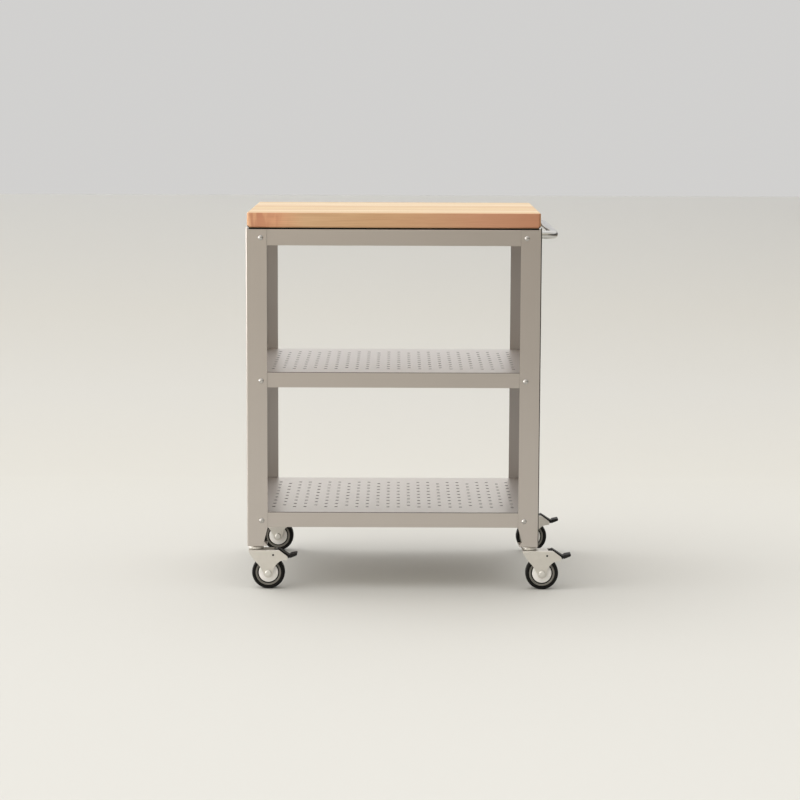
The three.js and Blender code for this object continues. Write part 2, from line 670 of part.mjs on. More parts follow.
for (const corner of CORNERS) {
  const mesh = addNode(cart, "leg_" + corner.name, leg(corner.sx > 0), "frame_steel");
  mesh.position.set((corner.sx * WIDTH) / 2, (corner.sy * DEPTH) / 2, 0);
  mesh.scale.set(-corner.sx, -corner.sy, 1);
}

for (const [name, top] of Object.entries(SHELF_TOPS_Z)) {
  addNode(cart, name, panShelf(top), "frame_steel");
}

const boltGeometry = frameBolt();
for (const [level, z] of Object.entries(BOLT_LEVELS)) {
  for (const { name, sx, sy } of CORNERS) {
    const bolt = addNode(cart, "bolt_" + level + "_" + name, boltGeometry, "bright_steel");
    bolt.position.set(sx * (WIDTH / 2 - BOLT_INSET), (sy * DEPTH) / 2, z);
    bolt.rotation.z = sy > 0 ? Math.PI : 0;
  }
}

addNode(cart, "side_handle", sideHandle(), "bright_steel");
addNode(cart, "handle_screw_front", handleScrew(-1), "zinc_steel");
addNode(cart, "handle_screw_rear", handleScrew(1), "zinc_steel");

CORNERS.forEach((corner) => cart.add(caster(corner)));

export default cart;
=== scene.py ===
"""Kitchen island cart: the finished look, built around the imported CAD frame."""
import math

import bmesh
import bpy
from mathutils import Matrix, Vector


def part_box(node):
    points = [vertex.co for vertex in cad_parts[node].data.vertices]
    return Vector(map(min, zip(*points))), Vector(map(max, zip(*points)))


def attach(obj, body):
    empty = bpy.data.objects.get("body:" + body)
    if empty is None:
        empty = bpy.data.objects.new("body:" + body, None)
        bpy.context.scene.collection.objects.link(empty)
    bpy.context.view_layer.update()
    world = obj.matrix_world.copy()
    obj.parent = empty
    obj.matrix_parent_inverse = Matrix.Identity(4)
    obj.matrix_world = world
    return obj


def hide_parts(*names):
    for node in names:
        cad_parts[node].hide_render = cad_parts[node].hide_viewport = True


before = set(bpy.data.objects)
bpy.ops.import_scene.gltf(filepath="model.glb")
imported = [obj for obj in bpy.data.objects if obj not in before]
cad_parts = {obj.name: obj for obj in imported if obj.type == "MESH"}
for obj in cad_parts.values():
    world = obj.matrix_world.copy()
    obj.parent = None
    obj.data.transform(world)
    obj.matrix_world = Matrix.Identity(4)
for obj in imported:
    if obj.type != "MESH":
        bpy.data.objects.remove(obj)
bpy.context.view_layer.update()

MM = 0.001
CORNERS = [("front_left", -1, -1), ("front_right", 1, -1), ("rear_left", -1, 1), ("rear_right", 1, 1)]
BOLT_LEVELS = ("top", "middle", "bottom")

# ---- driving sizes, read from the frame ----------------------------------------------------------

LEG_LOW, LEG_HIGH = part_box("leg_front_left")
LEFT_X, FRONT_Y = LEG_LOW.x, LEG_LOW.y
RIGHT_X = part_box("leg_front_right")[1].x
BACK_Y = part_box("leg_rear_left")[1].y
MIDDLE_X = (LEFT_X + RIGHT_X) / 2
HALF_X = (RIGHT_X - LEFT_X) / 2
HALF_Y = (BACK_Y - FRONT_Y) / 2
LEG_BOTTOM, FRAME_TOP = LEG_LOW.z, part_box("rail_front")[1].z
LEG_FLANGE = LEG_HIGH.x - LEG_LOW.x
LEG_SHEET = 2.0 * MM
LEG_BEND = 3.0 * MM
GAP = 0.3 * MM
THIN_SHEET = 1.5 * MM
EAR_TOP = FRAME_TOP + 4.6 * MM
EAR_WIDTH = 7.5 * MM
FOOT_WIDTH = 37.5 * MM
FOOT_TAPER_TOP = 154 * MM
FOOT_PLATE = 47 * MM
FOOT_PLATE_THICKNESS = 3 * MM
GUSSET_HEIGHT = 13 * MM
BOLT_RADIUS = 3 * MM
SWIVEL_INSET = 20.5 * MM
HOLE_RADIUS = 4.4 * MM
EASED_EDGE = 5 * MM


# ---- mesh helpers --------------------------------------------------------------------------------

def smooth_by_angle(mesh, degrees=32):
    """Smooth shading with edges sharper than the angle kept crisp."""
    mesh.shade_smooth()
    mesh.set_sharp_from_angle(angle=math.radians(degrees))


def new_object(name, bm, material=None):
    """Turns a bmesh into a linked object with outward faces."""
    bmesh.ops.recalc_face_normals(bm, faces=bm.faces)
    mesh = bpy.data.meshes.new(name)
    bm.to_mesh(mesh)
    bm.free()
    obj = bpy.data.objects.new(name, mesh)
    bpy.context.scene.collection.objects.link(obj)
    if material:
        mesh.materials.append(material)
    return obj


def bake_modifiers(obj):
    """Replaces the mesh by its evaluated self and drops the modifiers."""
    graph = bpy.context.evaluated_depsgraph_get()
    mesh = bpy.data.meshes.new_from_object(obj.evaluated_get(graph))
    old = obj.data
    obj.modifiers.clear()
    obj.data = mesh
    mesh.name = obj.name
    bpy.data.meshes.remove(old)


def combine(obj, others, operation):
    """Cuts, joins or intersects obj with the others, one after another, and removes them."""
    for other in others:
        step = obj.modifiers.new("combine", "BOOLEAN")
        step.operation = operation
        step.solver = "EXACT"
        step.object = other
    bake_modifiers(obj)
    for other in others:
        bpy.data.objects.remove(other)
    return obj


def round_edges(obj, width, segments=2, degrees=32):
    """Rounds the sharp edges, as pressing, cutting and moulding leave them."""
    step = obj.modifiers.new("round_edges", "BEVEL")
    step.width = width
    step.segments = segments
    step.limit_method = "ANGLE"
    step.angle_limit = math.radians(degrees)
    step.miter_outer = "MITER_ARC"
    bake_modifiers(obj)
    return obj


AXES = {
    "x": Matrix(((0, 0, 1), (1, 0, 0), (0, 1, 0))).to_4x4(),
    "y": Matrix(((1, 0, 0), (0, 0, -1), (0, 1, 0))).to_4x4(),
    "z": Matrix.Identity(4),
}


def prism(name, outline, axis, low, high):
    """An outline pushed along an axis: drawn in (y, z) for x, in (x, z) for y and in (x, y) for z."""
    bm = bmesh.new()
    ends = (low, high) if axis != "y" else (-high, -low)
    rings = [[bm.verts.new((u, v, end)) for u, v in outline] for end in ends]
    bm.faces.new(rings[0])
    bm.faces.new(rings[1])
    count = len(outline)
    for i in range(count):
        j = (i + 1) % count
        bm.faces.new((rings[0][i], rings[0][j], rings[1][j], rings[1][i]))
    bm.transform(AXES[axis])
    return new_object(name, bm)


def arc(centre, radius, start, end, steps):
    """Points on an arc between two angles in degrees, both ends included."""
    return [
        (
            centre[0] + radius * math.cos(math.radians(start + (end - start) * i / steps)),
            centre[1] + radius * math.sin(math.radians(start + (end - start) * i / steps)),
        )
        for i in range(steps + 1)
    ]


def circle(radius, sides, centre=(0, 0)):
    return arc(centre, radius, 0, 360 - 360 / sides, sides - 1)


def rectangle(x0, x1, y0, y1):
    return [(x0, y0), (x1, y0), (x1, y1), (x0, y1)]


def turned(name, profile, axis="y", centre=(0, 0, 0), segments=48):
    """A turned body from (radius, height) pairs; the profile closes on itself or on the axis."""
    bm = bmesh.new()
    closed = profile[0] == profile[-1]
    points = profile[:-1] if closed else profile
    rings = []
    for radius, height in points:
        if radius < 1e-9:
            rings.append([bm.verts.new((0, 0, height))] * segments)
            continue
        rings.append([
            bm.verts.new((
                radius * math.cos(2 * math.pi * i / segments),
                radius * math.sin(2 * math.pi * i / segments),
                height,
            ))
            for i in range(segments)
        ])
    pairs = list(zip(rings, rings[1:]))
    if closed:
        pairs.append((rings[-1], rings[0]))
    for lower, upper in pairs:
        for i in range(segments):
            j = (i + 1) % segments
            corners = list(dict.fromkeys((lower[i], lower[j], upper[j], upper[i])))
            if len(corners) > 2:
                bm.faces.new(corners)
    turn = {
        "y": Matrix.Rotation(math.radians(-90), 4, "X"),
        "z": Matrix.Identity(4),
    }
    bm.transform(Matrix.Translation(centre) @ turn[axis])
    return new_object(name, bm)


def fillet_profile(points, radius, steps=4):
    """Rounds every inner corner of an open polyline of (radius, height) pairs."""
    rounded = [points[0]]
    for before, corner, after in zip(points, points[1:], points[2:]):
        here = Vector(corner)
        to_before, to_after = Vector(before) - here, Vector(after) - here
        reach = min(radius, to_before.length * 0.45, to_after.length * 0.45)
        start, end = here + to_before.normalized() * reach, here + to_after.normalized() * reach
        for i in range(steps + 1):
            t = i / steps
            point = start * (1 - t) ** 2 + here * 2 * t * (1 - t) + end * t ** 2
            rounded.append((point.x, point.y))
    rounded.append(points[-1])
    return rounded


def fillet_outline(points, radii, steps=4):
    """Rounds the corners of a closed outline, each by its own radius."""
    rounded = []
    count = len(points)
    for i, corner in enumerate(points):
        radius = radii[i] if isinstance(radii, (list, tuple)) else radii
        here = Vector(corner)
        to_before = Vector(points[i - 1]) - here
        to_after = Vector(points[(i + 1) % count]) - here
        reach = min(radius, to_before.length * 0.45, to_after.length * 0.45)
        if reach < 1e-6:
            rounded.append(tuple(corner))
            continue
        start, end = here + to_before.normalized() * reach, here + to_after.normalized() * reach
        for k in range(steps + 1):
            t = k / steps
            point = start * (1 - t) ** 2 + here * 2 * t * (1 - t) + end * t ** 2
            rounded.append((point.x, point.y))
    return rounded


def place_mirrored(obj, sx, sy, origin):
    """Mirrors a mesh drawn for one corner into another and moves it there."""
    mesh = obj.data
    mesh.transform(Matrix.Diagonal((-sx, -sy, 1, 1)))
    if sx * sy < 0:
        mesh.flip_normals()
    mesh.transform(Matrix.Translation(origin))
    mesh.update()


def even_shading(obj):
    """Lets big flat faces keep their own normal, so that only the small rounded ones look bent."""
    step = obj.modifiers.new("even_shading", "WEIGHTED_NORMAL")
    step.weight = 100
    step.keep_sharp = True
    bake_modifiers(obj)


def finish_piece(obj, material, body, nodes=(), degrees=32):
    """Gives a piece its material, its shading, its body and the CAD nodes it stands for."""
    if not obj.data.materials:
        obj.data.materials.append(material)
    smooth_by_angle(obj.data, degrees)
    even_shading(obj)
    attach(obj, body)
    if nodes:
        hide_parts(*nodes)
    return obj


# ---- materials -----------------------------------------------------------------------------------

class Nodes:
    """A small builder for one node material."""

    def __init__(self, name):
        self.material = bpy.data.materials.new(name)
        self.material.use_nodes = True
        self.tree = self.material.node_tree
        self.shader = self.tree.nodes["Principled BSDF"]
        self.place = self.tree.nodes.new("ShaderNodeTexCoord").outputs["Object"]

    def set(self, **values):
        for key, value in values.items():
            self.shader.inputs[key.replace("_", " ")].default_value = value

    def link(self, output, socket):
        self.tree.links.new(output, socket)

    def feed(self, socket, value):
        if isinstance(value, bpy.types.NodeSocket):
            self.link(value, socket)
        else:
            socket.default_value = value

    def stretch(self, scale, offset=(0, 0, 0)):
        node = self.tree.nodes.new("ShaderNodeMapping")
        node.inputs["Scale"].default_value = scale
        node.inputs["Location"].default_value = offset
        self.link(self.place, node.inputs["Vector"])
        return node.outputs["Vector"]

    def noise(self, vector, scale, detail=3.0, roughness=0.55, distortion=0.0):
        node = self.tree.nodes.new("ShaderNodeTexNoise")
        self.link(vector, node.inputs["Vector"])
        node.inputs["Scale"].default_value = scale
        node.inputs["Detail"].default_value = detail
        node.inputs["Roughness"].default_value = roughness
        node.inputs["Distortion"].default_value = distortion
        return node.outputs["Fac"]

    def ramp(self, value, stops, interpolation="LINEAR"):
        node = self.tree.nodes.new("ShaderNodeValToRGB")
        node.color_ramp.interpolation = interpolation
        elements = node.color_ramp.elements
        while len(elements) < len(stops):
            elements.new(0.5)
        for element, (position, colour) in zip(elements, stops):
            element.position = position
            element.color = (*colour, 1)
        self.link(value, node.inputs["Fac"])
        return node.outputs["Color"]

    def levels(self, value, low, high, out_low, out_high):
        node = self.tree.nodes.new("ShaderNodeMapRange")
        node.clamp = True
        self.feed(node.inputs["Value"], value)
        for key, number in (("From Min", low), ("From Max", high), ("To Min", out_low), ("To Max", out_high)):
            node.inputs[key].default_value = number
        return node.outputs["Result"]

    def maths(self, operation, *values):
        node = self.tree.nodes.new("ShaderNodeMath")
        node.operation = operation
        for socket, value in zip(node.inputs, values):
            self.feed(socket, value)
        return node.outputs["Value"]

    def mix(self, factor, a, b):
        node = self.tree.nodes.new("ShaderNodeMix")
        node.data_type = "RGBA"
        colours = [s for s in node.inputs if s.type == "RGBA"]
        self.feed(node.inputs["Factor"], factor)
        for socket, value in zip(colours, (a, b)):
            self.feed(socket, (*value, 1) if isinstance(value, tuple) else value)
        return next(s for s in node.outputs if s.type == "RGBA")

    def split(self, vector):
        node = self.tree.nodes.new("ShaderNodeSeparateXYZ")
        self.link(vector, node.inputs["Vector"])
        return node.outputs["X"], node.outputs["Y"], node.outputs["Z"]

    def join(self, x, y, z):
        node = self.tree.nodes.new("ShaderNodeCombineXYZ")
        for socket, value in zip(node.inputs, (x, y, z)):
            self.feed(socket, value)
        return node.outputs["Vector"]

    def bump(self, height, distance, strength=1.0):
        node = self.tree.nodes.new("ShaderNodeBump")
        node.inputs["Strength"].default_value = strength
        node.inputs["Distance"].default_value = distance
        self.link(height, node.inputs["Height"])
        self.link(node.outputs["Normal"], self.shader.inputs["Normal"])
        return self


def srgb(red, green, blue):
    """A colour given as 0 to 255 display values, as the shader's linear values."""
    def linear(value):
        value /= 255
        return value / 12.92 if value <= 0.04045 else ((value + 0.055) / 1.055) ** 2.4
    return (linear(red), linear(green), linear(blue))


def brushed_steel(name, along, colour, roughness):
    """Very fine satin brushing along one axis, with slow, faint tone changes."""
    nodes = Nodes(name)
    nodes.set(Metallic=1.0)
    streak_scale = [1400, 1400, 1400]
    streak_scale["xyz".index(along)] = 12
    streaks = nodes.noise(nodes.stretch(streak_scale), 1.0, detail=2.0, roughness=0.6)
    slow = nodes.noise(nodes.stretch((7, 7, 7)), 1.0, detail=2.0)
    base = nodes.mix(nodes.levels(streaks, 0.3, 0.7, 0, 1), tuple(0.97 * c for c in colour), colour)
    base = nodes.mix(nodes.levels(slow, 0.35, 0.65, 0, 1), base, tuple(0.975 * c for c in colour))
    nodes.link(base, nodes.shader.inputs["Base Color"])
    fine_spread = nodes.levels(streaks, 0.3, 0.7, -0.02, 0.02)
    slow_spread = nodes.levels(slow, 0.3, 0.7, -0.01, 0.02)
    spread = nodes.maths("ADD", fine_spread, slow_spread)
    nodes.link(nodes.maths("ADD", spread, roughness), nodes.shader.inputs["Roughness"])
    return nodes.bump(streaks, 0.004 * MM, 0.3).material


def polished_steel(name, colour, roughness):
    nodes = Nodes(name)
    nodes.set(Metallic=1.0)
    smudge = nodes.noise(nodes.stretch((40, 40, 40)), 1.0, detail=3.0)
    base = nodes.mix(nodes.levels(smudge, 0.35, 0.65, 0, 1), colour, tuple(0.92 * c for c in colour))
    nodes.link(base, nodes.shader.inputs["Base Color"])
    nodes.link(nodes.levels(smudge, 0.3, 0.7, roughness, roughness + 0.05), nodes.shader.inputs["Roughness"])
    return nodes.material


def satin_zinc(name, colour):
    nodes = Nodes(name)
    nodes.set(Metallic=1.0)
    mottle = nodes.noise(nodes.stretch((60, 60, 60)), 1.0, detail=3.0, roughness=0.55)
    grain = nodes.noise(nodes.stretch((1500, 1500, 1500)), 1.0, detail=1.0)
    base = nodes.mix(nodes.levels(mottle, 0.3, 0.7, 0, 1), colour, tuple(0.95 * c for c in colour))
    nodes.link(base, nodes.shader.inputs["Base Color"])
    nodes.link(nodes.levels(mottle, 0.3, 0.7, 0.42, 0.47), nodes.shader.inputs["Roughness"])
    return nodes.bump(grain, 0.01 * MM, 0.3).material


def moulded_plastic(name, colour, roughness, grain_depth):
    nodes = Nodes(name)
    nodes.set(Specular_IOR_Level=0.35)
    grain = nodes.noise(nodes.stretch((900, 900, 900)), 1.0, detail=2.0)
    cloud = nodes.noise(nodes.stretch((60, 60, 60)), 1.0, detail=2.0)
    base = nodes.mix(nodes.levels(cloud, 0.35, 0.65, 0, 1), colour, tuple(0.9 * c for c in colour))
    nodes.link(base, nodes.shader.inputs["Base Color"])
    sheen = nodes.levels(grain, 0.3, 0.7, roughness - 0.04, roughness + 0.06)
    nodes.link(sheen, nodes.shader.inputs["Roughness"])
    return nodes.bump(grain, grain_depth, 0.5).material


def rubber(name, colour, dusty, specular):
    nodes = Nodes(name)
    dust = nodes.noise(nodes.stretch((70, 70, 70)), 1.0, detail=4.0, roughness=0.7)
    grain = nodes.noise(nodes.stretch((1100, 1100, 1100)), 1.0, detail=1.0)
    nodes.set(Specular_IOR_Level=specular)
    base = nodes.mix(nodes.levels(dust, 0.45, 0.75, 0, 0.5), colour, dusty)
    nodes.link(base, nodes.shader.inputs["Base Color"])
    nodes.link(nodes.levels(dust, 0.3, 0.7, 0.5, 0.68), nodes.shader.inputs["Roughness"])
    return nodes.bump(grain, 0.04 * MM, 0.5).material


STAVE_WIDTH = 0.0415


def butcher_block(name):
    """Edge-grain maple: long staves along X, each with its own tone and grain, and end grain at both ends."""
    nodes = Nodes(name)
    x, y, z = nodes.split(nodes.place)
    across = nodes.maths("DIVIDE", nodes.maths("SUBTRACT", y, FRONT_Y), STAVE_WIDTH)
    stave = nodes.maths("FLOOR", across)
    lottery = nodes.tree.nodes.new("ShaderNodeTexWhiteNoise")
    lottery.noise_dimensions = "1D"
    nodes.link(nodes.maths("ADD", stave, 3.7), lottery.inputs["W"])
    chance = lottery.outputs["Value"]
    shifted = nodes.join(
        nodes.maths("ADD", x, nodes.maths("MULTIPLY", chance, 7.0)),
        nodes.maths("ADD", y, nodes.maths("MULTIPLY", chance, 3.0)),
        nodes.maths("ADD", z, nodes.maths("MULTIPLY", chance, 5.0)),
    )

    def grain(scale, amount, detail, distortion):
        stretch = nodes.tree.nodes.new("ShaderNodeMapping")
        stretch.inputs["Scale"].default_value = scale
        nodes.link(shifted, stretch.inputs["Vector"])
        return nodes.noise(stretch.outputs["Vector"], amount, detail, 0.6, distortion)

    figure = grain((2.2, 38, 38), 1.0, 3.0, 1.6)
    fibre = grain((10, 420, 420), 1.0, 3.0, 0.2)
    flecks = grain((60, 900, 900), 1.0, 2.0, 0.0)
    curl = grain((46, 5, 9), 1.0, 2.0, 0.8)

    tone = nodes.ramp(chance, [
        (0.0, srgb(226, 200, 156)),
        (0.3, srgb(231, 209, 172)),
        (0.55, srgb(221, 190, 147)),
        (0.8, srgb(234, 214, 182)),
        (1.0, srgb(227, 202, 160)),
    ], "CONSTANT")
    tone = nodes.mix(nodes.levels(figure, 0.42, 0.72, 0, 0.5), tone, srgb(206, 158, 112))
    tone = nodes.mix(nodes.levels(fibre, 0.45, 0.75, 0, 0.35), tone, srgb(188, 142, 98))
    tone = nodes.mix(nodes.levels(flecks, 0.6, 0.8, 0, 0.25), tone, srgb(160, 116, 78))

    normal = nodes.tree.nodes.new("ShaderNodeNewGeometry").outputs["True Normal"]

    # The front stave is warmer, redder towards both ends, with curly figure near the left one. Its tone is
    # also painted darker than the top and darker from left to right, with a dark band at the right corner:
    # painted shade where less light falls.
    front = nodes.levels(nodes.split(normal)[1], -0.35, -0.6, 0, 1)
    warm = nodes.ramp(nodes.levels(x, LEFT_X, RIGHT_X, 0, 1), [
        (0.0, srgb(228, 178, 138)),
        (0.1, srgb(222, 164, 126)),
        (0.2, srgb(214, 176, 135)),
        (0.4, srgb(207, 167, 126)),
        (0.62, srgb(204, 159, 122)),
        (0.8, srgb(199, 146, 115)),
        (0.992, srgb(187, 131, 100)),
        (1.0, srgb(140, 96, 70)),
    ])
    warm = nodes.mix(nodes.levels(figure, 0.4, 0.7, 0, 0.4), warm, srgb(190, 138, 100))
    near_left = nodes.levels(x, LEFT_X + 0.11, LEFT_X + 0.02, 0, 1)
    curly = nodes.maths("MULTIPLY", near_left, nodes.levels(curl, 0.48, 0.6, 0, 0.6))
    warm = nodes.mix(curly, warm, srgb(184, 108, 80))
    warm = nodes.mix(nodes.levels(fibre, 0.45, 0.75, 0, 0.3), warm, srgb(168, 118, 80))
    tone = nodes.mix(front, tone, warm)

    # End grain shows on the faces that look along X.
    end_face = nodes.levels(nodes.maths("ABSOLUTE", nodes.split(normal)[0]), 0.5, 0.8, 0, 1)
    local_y = nodes.maths("SUBTRACT", nodes.maths("FRACT", across), nodes.maths("MULTIPLY", chance, 2.0))
    rise = nodes.maths("DIVIDE", nodes.maths("SUBTRACT", z, FRAME_TOP - 0.03), STAVE_WIDTH)
    ring_distance = nodes.maths("SQRT", nodes.maths("ADD", nodes.maths("MULTIPLY", local_y, local_y),
                                                    nodes.maths("MULTIPLY", rise, rise)))
    rings = nodes.maths("SINE", nodes.maths("MULTIPLY", ring_distance, 62.0))
    pores = nodes.noise(nodes.stretch((200, 1400, 1400)), 1.0, detail=2.0)
    end_tone = nodes.mix(nodes.levels(rings, -0.4, 1.0, 0, 0.6), srgb(206, 160, 114), srgb(170, 122, 82))
    end_tone = nodes.mix(nodes.levels(pores, 0.5, 0.7, 0, 0.4), end_tone, srgb(138, 96, 62))
    tone = nodes.mix(end_face, tone, end_tone)

    # Painted shade: the eased lower corners at the ends are painted near-black, standing for the shade in the
    # gap where the block meets the legs' ears.
    sideways, _, upwards = nodes.split(normal)
    at_end = nodes.levels(nodes.maths("ABSOLUTE", sideways), 0.2, 0.4, 0, 1)
    eased = nodes.maths("MULTIPLY", at_end, nodes.levels(upwards, -0.15, -0.35, 0, 1))
    tone = nodes.mix(eased, tone, srgb(30, 20, 14))

    # Thin glue lines between the staves.
    edge = nodes.maths("ABSOLUTE", nodes.maths("SUBTRACT", nodes.maths("FRACT", across), 0.5))
    glue = nodes.levels(edge, 0.492, 0.499, 0, 0.4)
    tone = nodes.mix(glue, tone, srgb(150, 106, 70))
    nodes.link(tone, nodes.shader.inputs["Base Color"])
    nodes.link(nodes.levels(fibre, 0.3, 0.7, 0.42, 0.56), nodes.shader.inputs["Roughness"])
    return nodes.bump(fibre, 0.05 * MM, 0.4).material


STEEL_TONE = (0.565, 0.523, 0.49)
# Painted light: the shelves' top faces get a lighter tone than the rest of the same sheet, for the brighter
# light they reflect.
SHELF_TOP_LIT_TONE = (0.72, 0.68, 0.655)
# Painted shade: the legs' inner faces get this darker tone, for the shade inside the angle.
INSIDE_SHADE_TONE = (0.39, 0.365, 0.352)
# Painted shade: near-black for the walls of the shelf holes and the legs' flange ends, standing for the shade
# in the holes and at the seams; the sheared steel there is also rough.
EDGE_SHADE_TONE = (0.06, 0.055, 0.05)
LEG_STEEL = brushed_steel("leg_brushed_steel", "z", STEEL_TONE, 0.34)
SHEET_STEEL = brushed_steel("sheet_brushed_steel", "x", STEEL_TONE, 0.34)
SIDE_STEEL = brushed_steel("side_brushed_steel", "y", STEEL_TONE, 0.34)
# Painted reflection: the right legs' outer bends are near-black, standing for the dark surround they reflect.
RIGHT_EDGE_PAINTED_REFLECTION = brushed_steel("right_edge_painted_reflection_steel", "z", (0.10, 0.09, 0.08), 0.2)
INSIDE_PAINTED_SHADE_STEEL = brushed_steel("leg_inside_painted_shade_steel", "z", INSIDE_SHADE_TONE, 0.42)
# Painted reflection: a dark line along the shelves' front top bend.
BEND_PAINTED_REFLECTION = brushed_steel("bend_painted_reflection_steel", "x", (0.24, 0.225, 0.21), 0.4)
SHELF_TOP_PAINTED_LIGHT = brushed_steel("shelf_top_painted_light_steel", "x", SHELF_TOP_LIT_TONE, 0.34)
EDGE_PAINTED_SHADE = brushed_steel("edge_painted_shade_steel", "z", EDGE_SHADE_TONE, 0.6)
HANDLE_STEEL = polished_steel("handle_polished_steel", (0.62, 0.61, 0.59), 0.06)
BOLT_STEEL = polished_steel("bolt_bright_steel", (0.60, 0.585, 0.565), 0.3)
CASTER_ZINC = satin_zinc("caster_satin_zinc", (0.74, 0.715, 0.67))
AXLE_ZINC = satin_zinc("axle_satin_zinc", (0.80, 0.785, 0.75))
WORKTOP_MAPLE = butcher_block("worktop_maple")
TYRE_RUBBER = rubber("tyre_rubber", srgb(8, 7, 5), srgb(22, 20, 17), 0.2)
# Painted shade: the gasket is near-black, standing for the shade of the gap under the slab.
GASKET_PAINTED_SHADE = rubber("gasket_painted_shade_rubber", srgb(5, 4, 3), srgb(9, 7, 6), 0.1)
DISC_GREY = moulded_plastic("disc_light_grey_plastic", srgb(246, 244, 241), 0.4, 0.02 * MM)
BAND_GREY = moulded_plastic("band_dark_grey_plastic", srgb(124, 121, 115), 0.4, 0.02 * MM)
RIM_BLACK = moulded_plastic("rim_black_plastic", srgb(18, 16, 13), 0.5, 0.04 * MM)
PEDAL_BLACK = moulded_plastic("pedal_black_plastic", srgb(12, 10, 8), 0.5, 0.06 * MM)


# ---- worktop -------------------------------------------------------------------------------------

def worktop():
    """The slab with eased edges, and the thin gasket it lies on, coloured near-black as painted shade for the
    gap under the slab.
    """
    low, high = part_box("butcher_block_top")
    slab_low = low.z
    corner_radius, top_edge = 8 * MM, 2.5 * MM
    outline = fillet_outline(rectangle(low.x, high.x, low.y, high.y), corner_radius, 8)
    block = prism("butcher_block", outline, "z", slab_low, high.z)
    bm = bmesh.new()
    bm.from_mesh(block.data)
    lower = [e for e in bm.edges if all(v.co.z < slab_low + MM for v in e.verts)]
    bmesh.ops.bevel(bm, geom=lower, offset=EASED_EDGE, segments=3, profile=0.4, affect="EDGES")
    upper = [e for e in bm.edges if all(v.co.z > high.z - MM for v in e.verts)]
    bmesh.ops.bevel(bm, geom=upper, offset=top_edge, segments=5, profile=0.5, affect="EDGES")
    bm.to_mesh(block.data)
    bm.free()
    finish_piece(block, WORKTOP_MAPLE, "cart_frame", ["butcher_block_top"], 40)
    low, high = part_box("worktop_gasket")
    width = 26 * MM
    gasket = prism("gasket", rectangle(low.x, high.x, low.y, high.y), "z", low.z, high.z)
    opening = rectangle(low.x + width, high.x - width, low.y + width, high.y - width)
    combine(gasket, [prism("opening", opening, "z", low.z - MM, high.z + MM)], "DIFFERENCE")
    round_edges(gasket, 0.3 * MM, 2)
    finish_piece(gasket, GASKET_PAINTED_SHADE, "cart_frame", ["worktop_gasket"])


# ---- frame ---------------------------------------------------------------------------------------

def angle_outline(across, up, sheet, bend, steps=6):
    """An L section with its outer corner at 0,0 and a bent corner."""
    inner = max(bend - sheet, 0.4 * MM)
    outside = arc((bend, bend), bend, 180, 270, steps)
    inside = arc((sheet + inner, sheet + inner), inner, 270, 180, steps)
    return [*outside, (across, 0), (across, sheet), *inside, (sheet, up), (0, up)]


